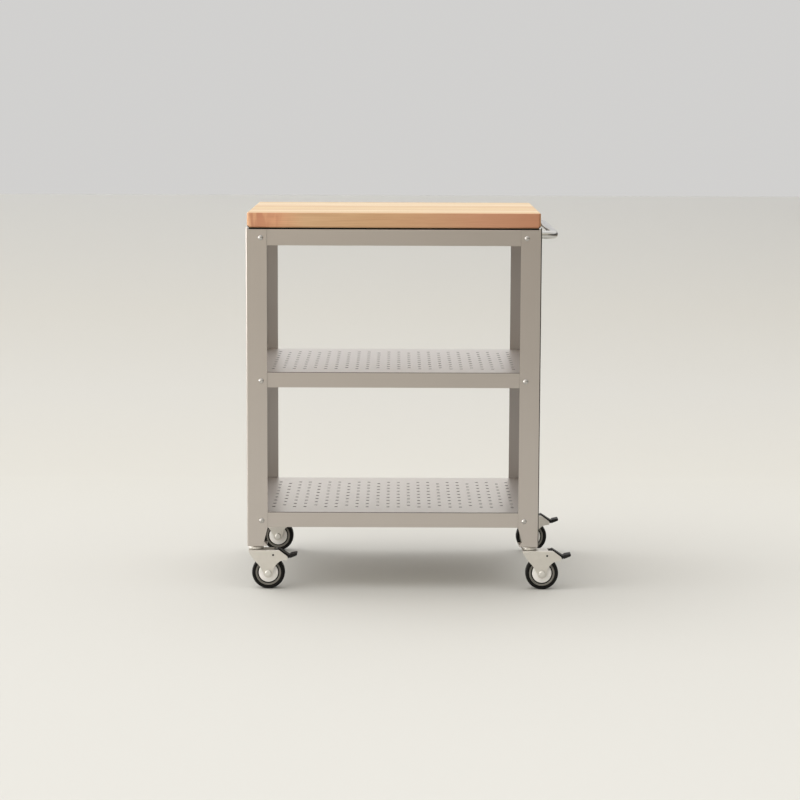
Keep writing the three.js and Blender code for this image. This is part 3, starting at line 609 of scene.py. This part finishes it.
def leg(name, sx, sy):
    """One leg with its tapered foot, foot plate, gussets and holes, drawn at 0,0 towards +X and +Y."""
    outline = angle_outline(LEG_FLANGE, LEG_FLANGE, LEG_SHEET, LEG_BEND)
    angle = prism("leg_shape_" + name, outline, "z", LEG_BOTTOM, EAR_TOP)
    beyond = LEG_FLANGE + 5 * MM
    taper = [
        (FOOT_WIDTH, LEG_BOTTOM - MM),
        (beyond, LEG_BOTTOM - MM),
        (beyond, FOOT_TAPER_TOP),
        (LEG_FLANGE, FOOT_TAPER_TOP),
    ]
    above_ear = [
        (LEG_SHEET, EAR_TOP + MM),
        (LEG_SHEET, EAR_TOP),
        (EAR_WIDTH, FRAME_TOP),
        (beyond, FRAME_TOP),
        (beyond, EAR_TOP + MM),
    ]
    wedges = [
        prism("wedge", shape, axis, -MM, 30 * MM)
        for axis in ("x", "y") for shape in (taper, above_ear)
    ]
    combine(angle, wedges, "DIFFERENCE")
    inside = LEG_SHEET - GAP
    plate_top = LEG_BOTTOM + FOOT_PLATE_THICKNESS
    gusset_top = LEG_BOTTOM + GUSSET_HEIGHT
    plate = prism("plate", rectangle(inside, FOOT_PLATE, inside, FOOT_PLATE), "z", LEG_BOTTOM, plate_top)
    gusset_base = LEG_BOTTOM + 0.2 * MM
    gusset = [
        (30 * MM, gusset_base),
        (FOOT_PLATE, gusset_base),
        (FOOT_PLATE, plate_top),
        (FOOT_WIDTH + MM, gusset_top),
        (30 * MM, gusset_top),
    ]
    webs = [prism("web", gusset, axis, inside, inside + LEG_SHEET) for axis in ("x", "y")]
    combine(angle, [plate, *webs], "UNION")
    holes = [prism("hole", circle(5.3 * MM, 24, (SWIVEL_INSET, SWIVEL_INSET)), "z", 0.1, 0.115)]
    for level in BOLT_LEVELS:
        low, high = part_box(f"bolt_{level}_front_left")
        inset, height = (low.x + high.x) / 2 - LEFT_X, (low.z + high.z) / 2
        holes.append(prism("hole", circle(BOLT_RADIUS + GAP, 20, (inset, height)), "y", -MM, 5 * MM))
    combine(angle, holes, "DIFFERENCE")
    round_edges(angle, 0.8 * MM, 2)
    for steel in (LEG_STEEL, INSIDE_PAINTED_SHADE_STEEL, EDGE_PAINTED_SHADE, RIGHT_EDGE_PAINTED_REFLECTION):
        angle.data.materials.append(steel)
    shaded_inside_face, shaded_flange_end, dark_reflection_index = 1, 2, 3
    for face in angle.data.polygons:
        x, y, z = face.center
        # Painted shade: the inner faces of the angle get the darker tone.
        if z > FOOT_TAPER_TOP and min(x, y) > LEG_SHEET - 0.1 * MM:
            face.material_index = shaded_inside_face
        if x > LEG_SHEET and abs(y - LEG_SHEET) < 0.1 * MM:
            face.material_index = shaded_inside_face
        if y > LEG_SHEET and abs(x - LEG_SHEET) < 0.1 * MM:
            face.material_index = shaded_inside_face
        # Painted shade: the flange ends are near-black, drawing a shadow seam along the leg.
        if max(x, y) > LEG_FLANGE - 0.8 * MM:
            face.material_index = shaded_flange_end
        # Painted reflection: on the right legs the outer bend gets the near-black tone.
        if sx > 0 and max(x, y) < LEG_BEND and face.normal.x < -0.3:
            face.material_index = dark_reflection_index
    place_mirrored(angle, sx, sy, (RIGHT_X if sx > 0 else LEFT_X, BACK_Y if sy > 0 else FRONT_Y, 0))
    finish_piece(angle, LEG_STEEL, "cart_frame", ["leg_" + name])


def rail(node, along):
    """An angle rail with mitred ends: the web hangs from the outer edge of the flange."""
    low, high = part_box(node)
    height = high.z - low.z
    flange = 26 * MM
    outline = angle_outline(flange, height, THIN_SHEET, 2.4 * MM)
    is_long = along == "x"
    end = (high.x - low.x) / 2 if is_long else (high.y - low.y) / 2
    clear = LEG_SHEET + GAP
    outer = (HALF_Y if is_long else HALF_X) - clear
    bm = bmesh.new()
    rings = []
    for side in (-1, 1):
        ring = [
            bm.verts.new((side * (end - inward), -outer + inward, high.z - drop))
            for inward, drop in outline
        ]
        rings.append(ring)
        bm.faces.new(ring)
    for i in range(len(outline)):
        j = (i + 1) % len(outline)
        bm.faces.new((rings[0][i], rings[0][j], rings[1][j], rings[1][i]))
    turn = {"rail_front": 0, "rail_right": 90, "rail_rear": 180, "rail_left": 270}[node]
    bm.transform(Matrix.Translation((MIDDLE_X, 0, 0)) @ Matrix.Rotation(math.radians(turn), 4, "Z"))
    shape = new_object("shape_" + node, bm)
    room = rectangle(LEFT_X + clear, RIGHT_X - clear, -HALF_Y + clear, HALF_Y - clear)
    room = fillet_outline(room, 1.2 * MM, 6)
    combine(shape, [prism("room", room, "z", low.z - MM, high.z + MM)], "INTERSECT")
    round_edges(shape, 0.25 * MM, 2)
    finish_piece(shape, SHEET_STEEL if is_long else SIDE_STEEL, "cart_frame", [node])


def hole_places():
    """Centres of the staggered holes: each third column has one hole fewer, half a row off."""
    columns, column_pitch, rows, row_pitch = 24, 25.4 * MM, 9, 44.5 * MM
    for column in range(columns):
        x = MIDDLE_X + (column - (columns - 1) / 2) * column_pitch
        count = rows - 1 if column % 3 == 1 else rows
        for row in range(count):
            yield x, (row - (count - 1) / 2) * row_pitch


def pan_shelf(node):
    """A pan bent from one perforated sheet, open below."""
    low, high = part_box(node)
    bm = bmesh.new()
    bmesh.ops.create_cube(bm, size=1)
    size = high - low
    bm.transform(Matrix.Translation((low + high) / 2) @ Matrix.Diagonal((*size, 1)))
    upright = [e for e in bm.edges if abs(e.verts[0].co.z - e.verts[1].co.z) > MM]
    bmesh.ops.bevel(bm, geom=upright, offset=3 * MM, segments=5, profile=0.5, affect="EDGES")
    rim = [e for e in bm.edges if all(v.co.z > high.z - MM for v in e.verts)]
    bmesh.ops.bevel(bm, geom=rim, offset=2.5 * MM, segments=5, profile=0.5, affect="EDGES")
    floor = [f for f in bm.faces if f.normal.z < -0.9]
    bmesh.ops.delete(bm, geom=floor, context="FACES_ONLY")
    pan = new_object("pan_" + node, bm)
    sheet = pan.modifiers.new("sheet", "SOLIDIFY")
    sheet.thickness = THIN_SHEET
    sheet.offset = -1
    bake_modifiers(pan)
    cutters = bmesh.new()
    punch_depth = 8 * MM
    for x, y in hole_places():
        spot = Matrix.Translation((x, y, high.z))
        bmesh.ops.create_cone(cutters, cap_ends=True, segments=16, radius1=HOLE_RADIUS, radius2=HOLE_RADIUS,
                              depth=punch_depth, matrix=spot)
    combine(pan, [new_object("punch", cutters)], "DIFFERENCE")
    for steel in (SHEET_STEEL, EDGE_PAINTED_SHADE, BEND_PAINTED_REFLECTION, SHELF_TOP_PAINTED_LIGHT):
        pan.data.materials.append(steel)
    shaded_hole_wall, painted_bend_line, painted_light_top = 1, 2, 3
    margin = 6 * MM
    for face in pan.data.polygons:
        # Painted shade: the walls of the punched holes are near-black.
        upright_wall = abs(face.normal.z) < 0.1 and face.center.z > high.z - 1.6 * MM
        if upright_wall and low.x + margin < face.center.x < high.x - margin:
            if low.y + margin < face.center.y < high.y - margin:
                face.material_index = shaded_hole_wall
        # Painted reflection: the front top bend gets the dark tone.
        if face.normal.z > 0.3 and face.normal.y < -0.4 and face.center.y < low.y + 3 * MM:
            face.material_index = painted_bend_line
        # Painted light: the top faces get the lighter tone.
        if face.normal.z > 0.95:
            face.material_index = painted_light_top
    finish_piece(pan, SHEET_STEEL, "cart_frame", [node], 30)


def frame_bolt(level, name, sy):
    """A button-head bolt with a hexagon socket, its shank, and the nut inside the frame."""
    low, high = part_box(f"bolt_{level}_{name}")
    x, z = (low.x + high.x) / 2, (low.z + high.z) / 2
    face = low.y if sy < 0 else high.y
    head_height, head_radius = 3.5 * MM, 6.2 * MM
    length = high.y - low.y
    dome = [(0, 0.0), *[
        (head_radius * math.sin(math.radians(a)), head_height * (1 - math.cos(math.radians(a))))
        for a in range(12, 91, 13)
    ], (head_radius, head_height)]
    chamfer = 0.5 * MM
    profile = [
        *dome, (BOLT_RADIUS, head_height), (BOLT_RADIUS, length - chamfer),
        (BOLT_RADIUS - chamfer, length), (0, length),
    ]
    bolt = turned("shape_bolt_" + level + "_" + name, profile, "y", segments=28)
    socket = prism("socket", circle(2.3 * MM, 6), "y", -MM, 2.6 * MM)
    combine(bolt, [socket], "DIFFERENCE")
    nut_start = length - 7 * MM
    nut = prism("nut", circle(5.8 * MM, 6), "y", nut_start, nut_start + 5 * MM)
    combine(bolt, [nut], "UNION")
    if sy > 0:
        bolt.data.transform(Matrix.Rotation(math.pi, 4, "Z"))
    bolt.data.transform(Matrix.Translation((x, face, z)))
    finish_piece(bolt, BOLT_STEEL, "cart_frame", [f"bolt_{level}_{name}"])


def side_handle():
    """The bent tube: two short posts out from the legs, joined by a long bar with round bends."""
    low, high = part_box("side_handle")
    radius = (high.z - low.z) / 2
    height = (low.z + high.z) / 2
    start, reach = low.x, high.x - radius
    front, rear = low.y + radius, high.y - radius
    bend = 18 * MM
    path = [(start, front)]
    path += arc((reach - bend, front + bend), bend, -90, 0, 12)
    path += arc((reach - bend, rear - bend), bend, 0, 90, 12)
    path.append((start, rear))
    sides = 40
    bm = bmesh.new()
    rings = []
    for i, (x, y) in enumerate(path):
        before, after = path[max(i - 1, 0)], path[min(i + 1, len(path) - 1)]
        forward = Vector((after[0] - before[0], after[1] - before[1], 0)).normalized()
        if i == 0 or i == len(path) - 1:
            forward = Vector((1 if i == 0 else -1, 0, 0))
        across = Vector((0, 0, 1)).cross(forward)
        ring = []
        for k in range(sides):
            angle = 2 * math.pi * k / sides
            offset = across * (radius * math.cos(angle)) + Vector((0, 0, radius * math.sin(angle)))
            ring.append(bm.verts.new(Vector((x, y, height)) + offset))
        rings.append(ring)
    for lower, upper in zip(rings, rings[1:]):
        for k in range(sides):
            j = (k + 1) % sides
            bm.faces.new((lower[k], lower[j], upper[j], upper[k]))
    bm.faces.new(rings[0])
    bm.faces.new(rings[-1])
    handle = new_object("handle_tube", bm)
    finish_piece(handle, HANDLE_STEEL, "cart_frame", ["side_handle"])


# ---- casters -------------------------------------------------------------------------------------

WHEEL_RADIUS = 40 * MM
TRAIL = 30 * MM
FORK_GAP = 32 * MM
FORK_SHEET = 2.5 * MM
FORK_HALF = FORK_GAP / 2 + FORK_SHEET
FORK_TOP = 57.5 * MM
BRAKE_PIN = (12 * MM, 44.5 * MM)
LEVER_HALF = 10.5 * MM
TOE_HALF = 13 * MM


def millimetres(points):
    return [(u * MM, v * MM) for u, v in points]


def fork_shape():
    """The pressed fork, with its wheel centre at 0,0,0."""
    corners = millimetres([
        (-48, 57.5), (25, 57.5), (48, 40), (46, 32), (31, 31.5), (17, 19), (12.6, 7)])
    round_foot = arc((0, 0), 11.5 * MM, 0, -180, 14)
    corners += round_foot
    corners += millimetres([(-22, 19), (-31, 28), (-43, 45), (-48, 54)])
    radii = [r * MM for r in (2, 4, 4, 3, 9, 6, 4, *[0] * len(round_foot), 9, 6, 6, 4)]
    cheeks = prism("fork_shape", fillet_outline(corners, radii, 5), "y", -FORK_HALF, FORK_HALF)
    bend = 4.5 * MM
    inner_bend = bend - FORK_SHEET
    under = FORK_TOP - FORK_SHEET
    half = FORK_GAP / 2
    channel = [(-FORK_HALF, -20 * MM)]
    channel += arc((-FORK_HALF + bend, FORK_TOP - bend), bend, 180, 90, 7)
    channel += arc((FORK_HALF - bend, FORK_TOP - bend), bend, 90, 0, 7)
    channel += [(FORK_HALF, -20 * MM), (half, -20 * MM)]
    channel += arc((half - inner_bend, under - inner_bend), inner_bend, 0, 90, 5)
    channel += arc((-half + inner_bend, under - inner_bend), inner_bend, 90, 180, 5)
    channel += [(-half, -20 * MM)]
    combine(cheeks, [prism("channel", channel, "x", -60 * MM, 60 * MM)], "INTERSECT")
    opening = prism("opening", rectangle(14 * MM, 80 * MM, -half, half), "z", 0.02, 0.08)
    stem_hole = prism("stem_hole", circle(5.6 * MM, 24, (-TRAIL, 0)), "z", 0.04, 0.07)
    axle_hole = prism("axle_hole", circle(4.3 * MM, 20), "y", -0.03, 0.03)
    pin_hole = prism("pin_hole", circle(2.5 * MM, 16, BRAKE_PIN), "y", -0.03, 0.03)
    combine(cheeks, [opening, stem_hole, axle_hole, pin_hole], "DIFFERENCE")
    return round_edges(cheeks, 0.5 * MM, 2, 40)


def race_shape():
    """The swivel head: an upper cup, a narrow gap for the balls, and a lower cup."""
    low, high = FORK_TOP + GAP, LEG_BOTTOM - WHEEL_RADIUS - GAP
    bore = 5.3 * MM
    outline = [
        (bore, low), (15.5 * MM, low), (18.8 * MM, low + 1.6 * MM), (18.8 * MM, low + 3.6 * MM),
        (17.2 * MM, low + 3.9 * MM), (17.2 * MM, low + 4.5 * MM), (18.4 * MM, low + 4.8 * MM),
        (18.4 * MM, high - 2.4 * MM), (16 * MM, high), (bore, high)]
    return turned("race_shape", [*fillet_profile(outline, 0.8 * MM, 3), (bore, low)], "z", (-TRAIL, 0, 0), 48)


def stem_shape():
    under = FORK_TOP - FORK_SHEET - GAP
    top = LEG_BOTTOM + FOOT_PLATE_THICKNESS - WHEEL_RADIUS + GAP
    profile = fillet_profile([
        (0, under - 3 * MM), (8 * MM, under - 3 * MM), (9 * MM, under - 1.5 * MM), (9 * MM, under),
        (5 * MM, under), (5 * MM, top + 11 * MM), (4 * MM, top + 12 * MM), (0, top + 12 * MM)], 0.4 * MM, 2)
    shank = turned("stem_shape", profile, "z", (-TRAIL, 0, 0), 32)
    nut = prism("nut", circle(9 * MM, 6, (-TRAIL, 0)), "z", top, top + 8 * MM)
    return round_edges(combine(shank, [nut], "UNION"), 0.35 * MM, 2, 40)


def axle_shape():
    head = FORK_HALF + GAP
    tall = 4.5 * MM
    profile = fillet_profile([
        (0, -head - tall), (6.4 * MM, -head - tall), (7.8 * MM, -head - 3 * MM), (7.8 * MM, -head),
        (4 * MM, -head), (4 * MM, head + tall - 0.6 * MM), (3.4 * MM, head + tall), (0, head + tall),
    ], 1.1 * MM, 4)
    bolt = turned("axle_shape", profile, "y", segments=40)
    nut = prism("nut", circle(7.4 * MM, 6), "y", head, head + 4 * MM)
    return round_edges(combine(bolt, [nut], "UNION"), 0.3 * MM, 2, 40)


def both_sides(side):
    """A wheel section's outline from its half on one side of the wheel's middle plane."""
    return [(r, -y) for r, y in side] + [(r, y) for r, y in reversed(side)]


def wheel_ring(name, section, radius, steps, segments):
    """A ring turned round the wheel's axis, with its section's corners rounded."""
    return turned(name, [*fillet_profile(section, radius, steps), section[0]], "y", segments=segments)


def tyre_shape():
    """A solid tyre with a crowned tread and a step in each side that the rim band sits in."""
    half = 13
    side = millimetres([
        (28.4, 9.4), (31.3, 9.4), (31.8, 11.8), (33, half), (36.8, half), (39, 11.2), (40, 7)])
    return wheel_ring("tyre_shape", both_sides(side), 1.2 * MM, 4, 96)


def rim_shape():
    """The black wheel body between the tyre and the two light discs."""
    side = millimetres([(4.3, 15.4), (8.5, 15.4), (9, 8), (24.6, 8), (25.4, 9.2), (28.2, 9.2)])
    return wheel_ring("rim_shape", both_sides(side), 0.5 * MM, 3, 64)


def rim_band_shape(side):
    """The dark grey band between the tyre and the recess round the hub disc."""
    out = [(26.4, 9.6), (26.6, 11.2), (28.4, 12.2), (30.2, 12.2), (31.2, 11.0), (31.2, 9.6)]
    section = [(r * MM, side * h * MM) for r, h in out]
    return wheel_ring("band_shape", section, 0.8 * MM, 3, 72)


def disc_shape(side):
    """A light grey dust disc, slightly domed, that closes the wheel's side."""
    out = [(9.2, 8.4), (9.2, 12.6), (12, 12.8), (18, 12.4), (22, 11.6), (23.6, 10.4), (23.6, 8.4)]
    section = [(r * MM, side * h * MM) for r, h in out]
    return wheel_ring("disc_shape", section, 0.8 * MM, 3, 64)


def pedal_shape():
    """The brake lever between the fork cheeks, with a ribbed toe plate and its pin."""
    lever = millimetres([
        (8.2, 43.2), (8.2, 47.5), (16.5, 53), (22, 58.6), (25.5, 59.6), (50.5, 43.2), (58, 45.6), (58, 37.7),
        (48, 35.5), (38, 33.5), (28, 38.5), (16, 41.3)])
    toe = millimetres([(53, 45.4), (69, 48.6), (70.3, 46.6), (69.6, 42.7), (54.7, 36.6), (52.4, 36.3)])
    radii = [3 * MM, 3 * MM, 2 * MM, 2 * MM, 2 * MM, 2 * MM, 0, 0, 2 * MM, 4 * MM, 5 * MM, 3 * MM]
    body = prism("pedal_shape", fillet_outline(lever, radii, 4), "y", -LEVER_HALF, LEVER_HALF)
    plate = prism("toe", fillet_outline(toe, 1.4 * MM, 4), "y", -TOE_HALF, TOE_HALF)
    combine(body, [plate], "UNION")
    grooves = []
    for i in range(4):
        x = (56 + 3.4 * i) * MM
        z = 45.4 * MM + (x - 53 * MM) * 0.2
        outline = rectangle(x - 0.5 * MM, x + 0.5 * MM, z - 0.7 * MM, z + 2 * MM)
        grooves.append(prism("groove", outline, "y", -LEVER_HALF, LEVER_HALF))
    combine(body, grooves, "DIFFERENCE")
    round_edges(body, 0.45 * MM, 2, 40)
    pin_half = FORK_HALF + 0.3 * MM
    pin = prism("pin", circle(2.4 * MM, 20, BRAKE_PIN), "y", -pin_half, pin_half)
    return combine(body, [pin], "UNION")


def casters():
    shapes = [
        ("fork", fork_shape(), CASTER_ZINC, "caster_metal", "caster_", ["caster_fork_"]),
        ("race", race_shape(), CASTER_ZINC, "caster_metal", None, ["swivel_race_"]),
        ("stem", stem_shape(), CASTER_ZINC, "caster_metal", None, ["caster_stem_"]),
        ("axle", axle_shape(), AXLE_ZINC, "caster_metal", "caster_", ["wheel_axle_"]),
        ("tyre", tyre_shape(), TYRE_RUBBER, "tyre_rubber", "wheel_", ["wheel_tyre_"]),
        ("rim", rim_shape(), RIM_BLACK, "wheel_plastic", "wheel_", ["wheel_hub_"]),
        ("band_front", rim_band_shape(-1), BAND_GREY, "wheel_plastic", "wheel_", []),
        ("band_rear", rim_band_shape(1), BAND_GREY, "wheel_plastic", "wheel_", []),
        ("disc_front", disc_shape(-1), DISC_GREY, "wheel_plastic", "wheel_", []),
        ("disc_rear", disc_shape(1), DISC_GREY, "wheel_plastic", "wheel_", []),
        ("pedal", pedal_shape(), PEDAL_BLACK, "brake_plastic", "brake_", ["brake_pedal_"]),
    ]
    for name, sx, sy in CORNERS:
        low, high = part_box("wheel_tyre_" + name)
        centre = (low + high) / 2
        for part, shape, material, slot, body, nodes in shapes:
            piece = bpy.data.objects.new("look_" + part + "_" + name, shape.data.copy())
            bpy.context.scene.collection.objects.link(piece)
            piece.data.transform(Matrix.Translation((centre.x, centre.y, WHEEL_RADIUS)))
            rides = body + name if body else "cart_frame"
            finish_piece(piece, material, rides, [node + name for node in nodes])
    for _, shape, *_ in shapes:
        bpy.data.objects.remove(shape)


# ---- stage, lights and camera --------------------------------------------------------------------

def stage():
    """A pale paper sweep: a floor that curves up behind the cart and ends under a metre up."""
    nodes = Nodes("studio_paper")
    nodes.set(Roughness=0.9)
    near_tone, near_light_tone, far_tone = (0.660, 0.652, 0.618), (0.665, 0.657, 0.623), (0.685, 0.674, 0.632)
    curve_tone, top_tone, dark_tone = (0.695, 0.692, 0.670), (0.682, 0.696, 0.712), (0.20, 0.18, 0.155)
    across, depth, height = nodes.split(nodes.place)
    cloud = nodes.noise(nodes.stretch((0.6, 0.6, 0.6)), 1.0, detail=1.0)
    floor = nodes.mix(nodes.levels(cloud, 0.3, 0.7, 0, 1), near_tone, near_light_tone)
    # Painted light: the paper is painted lighter towards the back and up the curve, offsetting the shade the
    # curve casts on the floor near it; at the top it turns a cooler grey.
    floor = nodes.mix(nodes.levels(depth, 0.3, 1.34, 0, 1), floor, far_tone)
    paper = nodes.mix(nodes.levels(height, 0.0, 0.2, 0, 1), floor, curve_tone)
    paper = nodes.mix(nodes.levels(height, 0.45, 0.84, 0, 1), paper, top_tone)

    # Outside the front camera's view the floor is dark at the front and the right, for the steel to reflect.
    front_part = nodes.levels(depth, -3.0, -5.0, 0, 1)
    right_part = nodes.levels(across, 1.6, 2.4, 0, 1)
    away = nodes.maths("MAXIMUM", front_part, right_part)
    near = nodes.levels(depth, -2.6, -3.8, 0, 1)
    near_right = nodes.maths("MULTIPLY", near, nodes.levels(across, -0.3, 1.1, 0, 1))
    away = nodes.maths("MAXIMUM", away, near_right)
    paper = nodes.mix(away, paper, dark_tone)
    nodes.link(paper, nodes.shader.inputs["Base Color"])
    width, front, curve_start, radius, end_angle = 9.0, -9.0, 1.34, 0.9, -4
    profile = [(front, 0), *arc((curve_start, radius), radius, -90, end_angle, 48)]
    bm = bmesh.new()
    rows = [[bm.verts.new((x, y, z)) for x in (-width, width)] for y, z in profile]
    for near, far in zip(rows, rows[1:]):
        bm.faces.new((near[0], near[1], far[1], far[0]))
    sweep = new_object("studio_sweep", bm, nodes.material)
    sweep.data.shade_smooth()


def lights():
    """A broad, soft key from the upper left, in a surround that is bright at left and above."""
    data = bpy.data.lights.new("key", "SUN")
    data.energy = 0.5
    data.angle = math.radians(60)
    data.color = (1, 0.995, 0.98)
    sun = bpy.data.objects.new("key", data)
    sun.rotation_euler = Vector((0.5, -0.02, -0.86)).to_track_quat("-Z", "Y").to_euler()
    bpy.context.scene.collection.objects.link(sun)
    world = bpy.data.worlds.new("studio")
    bpy.context.scene.world = world
    world.use_nodes = True
    tree = world.node_tree
    background = tree.nodes["Background"]
    split = tree.nodes.new("ShaderNodeSeparateXYZ")
    tree.links.new(tree.nodes.new("ShaderNodeTexCoord").outputs["Generated"], split.inputs["Vector"])

    def ranged(axis, *limits):
        node = tree.nodes.new("ShaderNodeMapRange")
        node.interpolation_type = "SMOOTHSTEP"
        tree.links.new(split.outputs[axis], node.inputs["Value"])
        for key, number in zip(("From Min", "From Max", "To Min", "To Max"), limits):
            node.inputs[key].default_value = number
        return node.outputs["Result"]

    def times(first, second):
        node = tree.nodes.new("ShaderNodeMath")
        node.operation = "MULTIPLY"
        tree.links.new(first, node.inputs[0])
        tree.links.new(second, node.inputs[1])
        return node.outputs["Value"]

    def plus(first, second):
        node = tree.nodes.new("ShaderNodeMath")
        tree.links.new(first, node.inputs[0])
        tree.links.new(second, node.inputs[1])
        return node.outputs["Value"]

    # Near the horizon it is bright at left, dark at right and dimmer at the front. Higher up it is more even.
    low_band = times(ranged("X", -0.8, 0.8, 1.9, 0.06), ranged("X", -0.35, 0.35, 1.5, 0.6))
    low_band = times(low_band, ranged("Y", -1.0, -0.1, 0.64, 1.9))
    high_band = times(ranged("X", -0.9, 0.9, 1.18, 0.9), ranged("Y", -0.7, 0.3, 0.79, 1.14))
    low_band = times(low_band, ranged("Z", 0.12, 0.5, 1.0, 0.0))
    high_band = times(high_band, ranged("Z", 0.12, 0.5, 0.0, 1.0))

    # Straight behind the cart it has one even tone, which shows above the sweep.
    around = times(plus(low_band, high_band), ranged("Y", 0.85, 0.97, 1.0, 0.0))
    behind = ranged("Y", 0.85, 0.97, 0.0, 0.64)
    tree.links.new(plus(around, behind), background.inputs["Strength"])
    tint = tree.nodes.new("ShaderNodeMix")
    tint.data_type = "RGBA"
    tree.links.new(ranged("Y", -1.0, -0.3, 0.0, 1.0), tint.inputs["Factor"])
    warm, neutral = [socket for socket in tint.inputs if socket.type == "RGBA"]
    warm.default_value = (1.0, 0.93, 0.80, 1)
    neutral.default_value = (1.0, 0.99, 0.975, 1)
    colour = next(socket for socket in tint.outputs if socket.type == "RGBA")
    tree.links.new(colour, background.inputs["Color"])


def camera():
    """A long lens in front of the cart, a little above it and looking down."""
    data = bpy.data.cameras.new("camera")
    data.sensor_width = 36
    data.lens = 105.5
    aside, half_depth, distance, height = 0.0131, 0.254, 5.838, 1.2225
    pitch, yaw, roll = (math.radians(a) for a in (7.72, 0.03, 0.21))
    forward = Vector((math.sin(yaw) * math.cos(pitch), math.cos(yaw) * math.cos(pitch), -math.sin(pitch)))
    right = Vector((math.cos(yaw), -math.sin(yaw), 0))
    up = right.cross(forward)
    tilted_right = right * math.cos(roll) + up * math.sin(roll)
    tilted_up = up * math.cos(roll) - right * math.sin(roll)
    cam = bpy.data.objects.new("camera", data)
    turn = Matrix((tilted_right, tilted_up, -forward)).transposed().to_4x4()
    cam.matrix_world = Matrix.Translation((MIDDLE_X + aside, FRONT_Y + half_depth - distance, height)) @ turn
    data.clip_end = 60
    bpy.context.scene.collection.objects.link(cam)
    bpy.context.scene.camera = cam


camera()
stage()
lights()
worktop()
for corner_name, corner_x, corner_y in CORNERS:
    leg(corner_name, corner_x, corner_y)
for rail_node in ("rail_front", "rail_rear"):
    rail(rail_node, "x")
for rail_node in ("rail_left", "rail_right"):
    rail(rail_node, "y")
for shelf_node in ("mid_shelf", "lower_shelf"):
    pan_shelf(shelf_node)
for corner_name, _, corner_y in CORNERS:
    for bolt_level in BOLT_LEVELS:
        frame_bolt(bolt_level, corner_name, corner_y)
side_handle()
casters()
for screw in [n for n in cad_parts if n.startswith(("worktop_screw_", "handle_screw_"))]:
    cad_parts[screw].data.materials.clear()
    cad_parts[screw].data.materials.append(CASTER_ZINC)

bpy.context.scene.view_settings.view_transform = "Standard"
